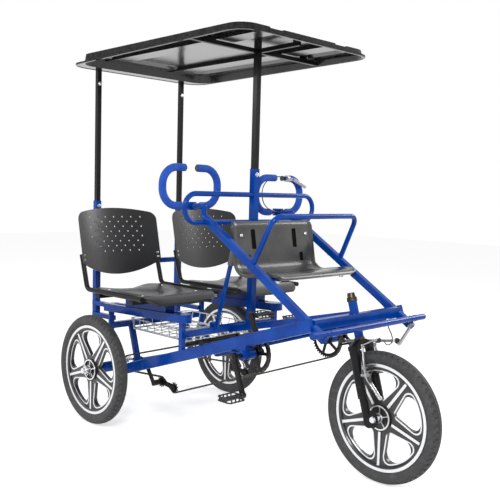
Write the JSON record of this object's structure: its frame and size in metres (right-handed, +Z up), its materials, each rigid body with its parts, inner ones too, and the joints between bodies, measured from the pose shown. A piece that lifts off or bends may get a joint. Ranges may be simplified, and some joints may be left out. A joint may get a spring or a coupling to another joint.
{
  "type": "family tricycle",
  "caption": "Side-by-side pedal tricycle for two adults with a child bench in front, ring handlebars, cast wheels, cargo basket and moulded roof.",
  "frame": {"origin": "on the ground under the middle of the vehicle's overall length and width", "axes": "+X forward, +Y to the riders' left, +Z up"},
  "size_m": [1.86, 0.998, 1.7497],
  "materials": {
    "frame_paint": "gloss blue powder coat",
    "black_steel": "satin black powder coat",
    "black_plastic": "fine-grained black plastic",
    "grey_plastic": "satin grey moulded plastic",
    "roof_plastic": "dark grey vacuum-formed plastic",
    "foam": "matte blue foam rubber",
    "grip_rubber": "matte grey rubber",
    "tyre": "matte black",
    "wheel_casting": "black lacquer, spokes machined bright",
    "bright_steel": "plated",
    "chain_steel": "oiled steel",
    "white_wire": "white plastic coated wire",
    "cable_black": "black cable casing"
  },
  "bodies": {
    "frame": {"axle_housings": "frame_paint", "backbone": "frame_paint", "basket": "white_wire", "bottom_brackets": "frame_paint", "centre_post": "frame_paint", "chain_guards": "black_plastic", "chain_tensioners": "black_steel", "child_bench": "grey_plastic", "child_bench_support": "frame_paint", "child_handrail": "frame_paint", "footrest_bar": "frame_paint", "front_crossmember": "frame_paint", "head_tube": "frame_paint", "hoop_rail": "frame_paint", "left_chain": "chain_steel", "left_column_tube": "frame_paint", "left_seat_back": "black_plastic", "left_seat_pan": "black_plastic", "left_side_frame": "frame_paint", "left_side_rail": "frame_paint", "parking_lever": "frame_paint", "parking_lever_grip": "grip_rubber", "rear_axle_beam": "frame_paint", "rear_post_frame": "frame_paint", "right_chain": "chain_steel", "right_column_tube": "frame_paint", "right_grips": "foam", "right_handlebar": "black_steel", "right_seat_back": "black_plastic", "right_seat_pan": "black_plastic", "right_side_frame": "frame_paint", "right_side_rail": "frame_paint", "roof": "roof_plastic", "roof_bars": "black_steel", "roof_posts": "black_steel", "seat_arms": "black_steel", "seat_crossbar": "frame_paint"},
    "right_rear_wheel": {"right_rear_wheel": "wheel_casting", "right_rear_tyre": "tyre", "right_half_axle": "bright_steel"},
    "left_rear_wheel": {"left_rear_wheel": "wheel_casting", "left_rear_tyre": "tyre", "left_half_axle": "bright_steel"},
    "front_wheel": {"front_wheel": "wheel_casting", "front_tyre": "tyre"},
    "fork": {"fork": "black_steel", "front_axle": "bright_steel", "headset": "bright_steel", "front_brake": "black_steel"},
    "left_handlebar": {"left_handlebar": "black_steel", "left_grips": "foam", "brake_lever": "bright_steel", "pitman_arm": "black_steel"},
    "tie_rod": {"tie_rod": "black_steel"},
    "right_cranks": {"right_crankset": "bright_steel", "right_pedals": "black_plastic"},
    "left_cranks": {"left_crankset": "bright_steel", "left_pedals": "black_plastic"}
  },
  "joints": [
    {"name": "right_rear_wheel_spin", "type": "hinge", "parent": "frame", "child": "right_rear_wheel", "pos_m": [-0.655, -0.4315, 0.255], "axis": [0, 1, 0], "continuous": true},
    {"name": "left_rear_wheel_spin", "type": "hinge", "parent": "frame", "child": "left_rear_wheel", "pos_m": [-0.655, 0.4315, 0.255], "axis": [0, 1, 0], "continuous": true},
    {"name": "fork_steering", "type": "hinge", "parent": "frame", "child": "fork", "pos_m": [0.64334, 0, 0.24568], "axis": [-0.2823, 0, 0.9593], "range_deg": [-30, 30]},
    {"name": "front_wheel_spin", "type": "hinge", "parent": "fork", "child": "front_wheel", "pos_m": [0.675, 0, 0.255], "axis": [0, 1, 0], "continuous": true},
    {"name": "left_handlebar_turn", "type": "hinge", "parent": "frame", "child": "left_handlebar", "pos_m": [0.61294, 0.275, 0.57029], "axis": [-0.848, 0, 0.53], "range_deg": [-27.6, 27.6]},
    {"name": "tie_rod_swing", "type": "hinge", "parent": "left_handlebar", "child": "tie_rod", "pos_m": [0.56153, 0.275, 0.48803], "axis": [-0.848, 0, 0.53], "range_deg": [-27.6, 27.6]},
    {"name": "right_crank_turn", "type": "hinge", "parent": "frame", "child": "right_cranks", "pos_m": [0.21, -0.275, 0.45491], "axis": [0, 1, 0], "continuous": true},
    {"name": "left_crank_turn", "type": "hinge", "parent": "frame", "child": "left_cranks", "pos_m": [0.21, 0.275, 0.45491], "axis": [0, 1, 0], "continuous": true}
  ],
  "couplings": [
    {"joint": "left_handlebar_turn", "follows": "fork_steering", "ratio": 0.92},
    {"joint": "tie_rod_swing", "follows": "fork_steering", "ratio": -0.92}
  ]
}
